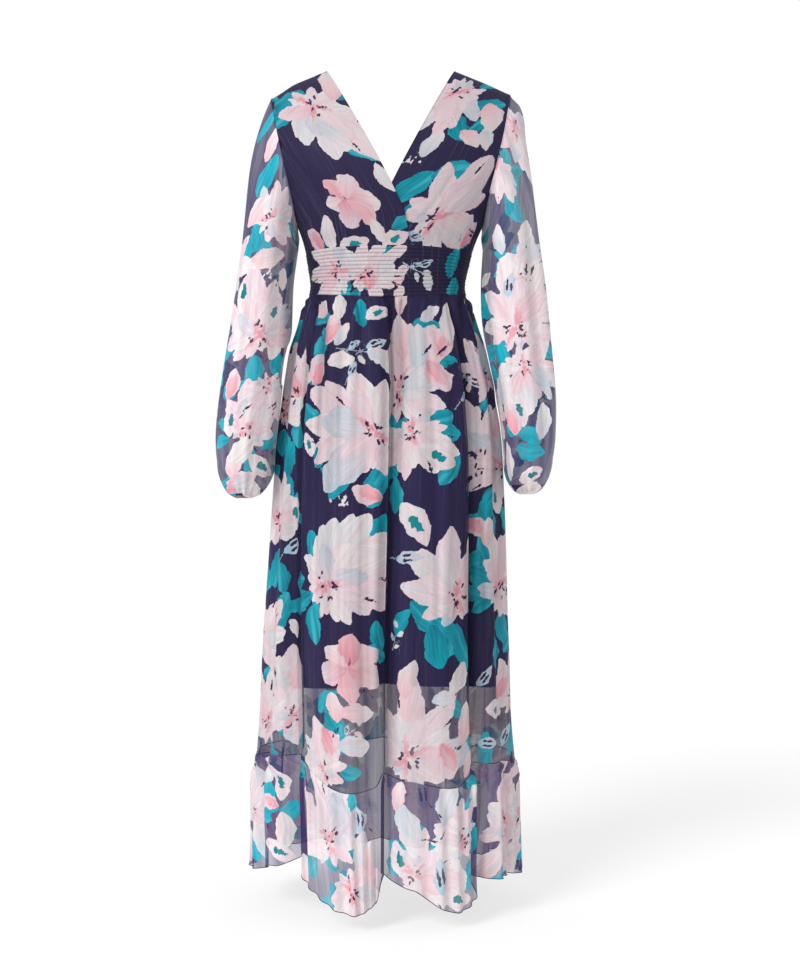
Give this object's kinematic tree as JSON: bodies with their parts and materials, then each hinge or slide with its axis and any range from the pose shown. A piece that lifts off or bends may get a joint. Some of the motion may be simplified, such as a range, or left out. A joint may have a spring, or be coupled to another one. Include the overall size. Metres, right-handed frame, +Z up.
{
  "type": "midi dress",
  "caption": "Worn hollow long-sleeved dress: V-neck wrap front, shirred waistband, gathered lined skirt with a ruffle at the hem, full sleeves on elastic cuffs",
  "frame": {"origin": "midway between the two shoulder seams, at half their height, where the wearer's shoulders hold the dress", "axes": "+Z up, -Y towards the front of the dress, +X towards the wearer's left"},
  "size_m": [0.535, 0.3801, 1.2959],
  "materials": {
    "bodice": "printed chiffon over an opaque backing, matt",
    "waistband": "printed chiffon shirred on elastic, matt",
    "chiffon": "sheer printed chiffon, soft low sheen",
    "lining": "plain navy woven lining, low sheen",
    "elastic": "chiffon casing gathered on narrow elastic"
  },
  "bodies": {
    "root": {"bodice_front_right": "bodice", "bodice_front_left": "bodice", "bodice_back": "bodice", "waistband_front": "waistband", "waistband_back": "waistband", "skirt_front": "chiffon", "skirt_back": "chiffon", "lining_front": "lining", "lining_back": "lining", "ruffle_front": "chiffon", "ruffle_back": "chiffon", "sleeve_right": "chiffon", "sleeve_left": "chiffon", "cuff_right": "elastic", "cuff_left": "elastic"}
  },
  "joints": []
}
